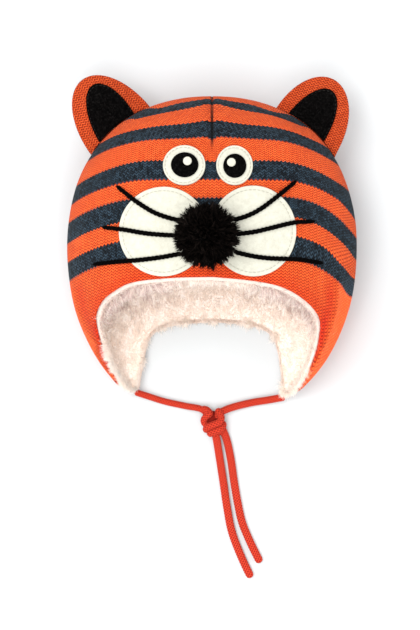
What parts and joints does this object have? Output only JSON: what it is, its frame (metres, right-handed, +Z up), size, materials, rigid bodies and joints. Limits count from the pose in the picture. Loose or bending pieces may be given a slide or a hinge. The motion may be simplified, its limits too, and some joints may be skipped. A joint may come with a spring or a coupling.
{
  "type": "knitted child's beanie with ear flaps and ties",
  "caption": "Knitted animal-face beanie with ears, ear flaps, plush lining, felt face pieces, a pompom nose and knotted tie cords, lying on its back.",
  "frame": {"origin": "on the surface that the hat lies on, under the middle of its outline without the cords", "axes": "+Z up from the surface, out of the face; +Y towards the crown; +X to the right of someone who looks down at the face"},
  "size_m": [0.1991, 0.3542, 0.146],
  "materials": {
    "striped_knit": "orange acrylic stocking-stitch knit with dark blue-grey stripes",
    "plush_pile": "long soft off-white plush pile",
    "cream_felt": "matt cream felt with a stitched line inside its edge",
    "black_felt": "matt black felt",
    "whisker_cord": "black yarn cord, stitched down",
    "pompom_fur": "short black faux fur",
    "tie_cord": "red-orange braided acrylic cord"
  },
  "bodies": {
    "root": {"knit_hat": "striped_knit", "plush_lining": "plush_pile", "ear_left": "striped_knit", "ear_felt_left": "black_felt", "ear_right": "striped_knit", "ear_felt_right": "black_felt", "eye_white_left": "cream_felt", "pupil_left": "black_felt", "glint_left": "cream_felt", "eye_white_right": "cream_felt", "pupil_right": "black_felt", "glint_right": "cream_felt", "muzzle_pad_left": "cream_felt", "muzzle_pad_right": "cream_felt", "whisker_left_upper": "whisker_cord", "whisker_left_middle": "whisker_cord", "whisker_left_lower": "whisker_cord", "whisker_right_upper": "whisker_cord", "whisker_right_middle": "whisker_cord", "whisker_right_lower": "whisker_cord", "nose_pompom": "pompom_fur", "tie_left": "tie_cord", "tie_right": "tie_cord", "tail_left": "tie_cord", "tail_right": "tie_cord", "tie_knot": "tie_cord"}
  },
  "joints": []
}
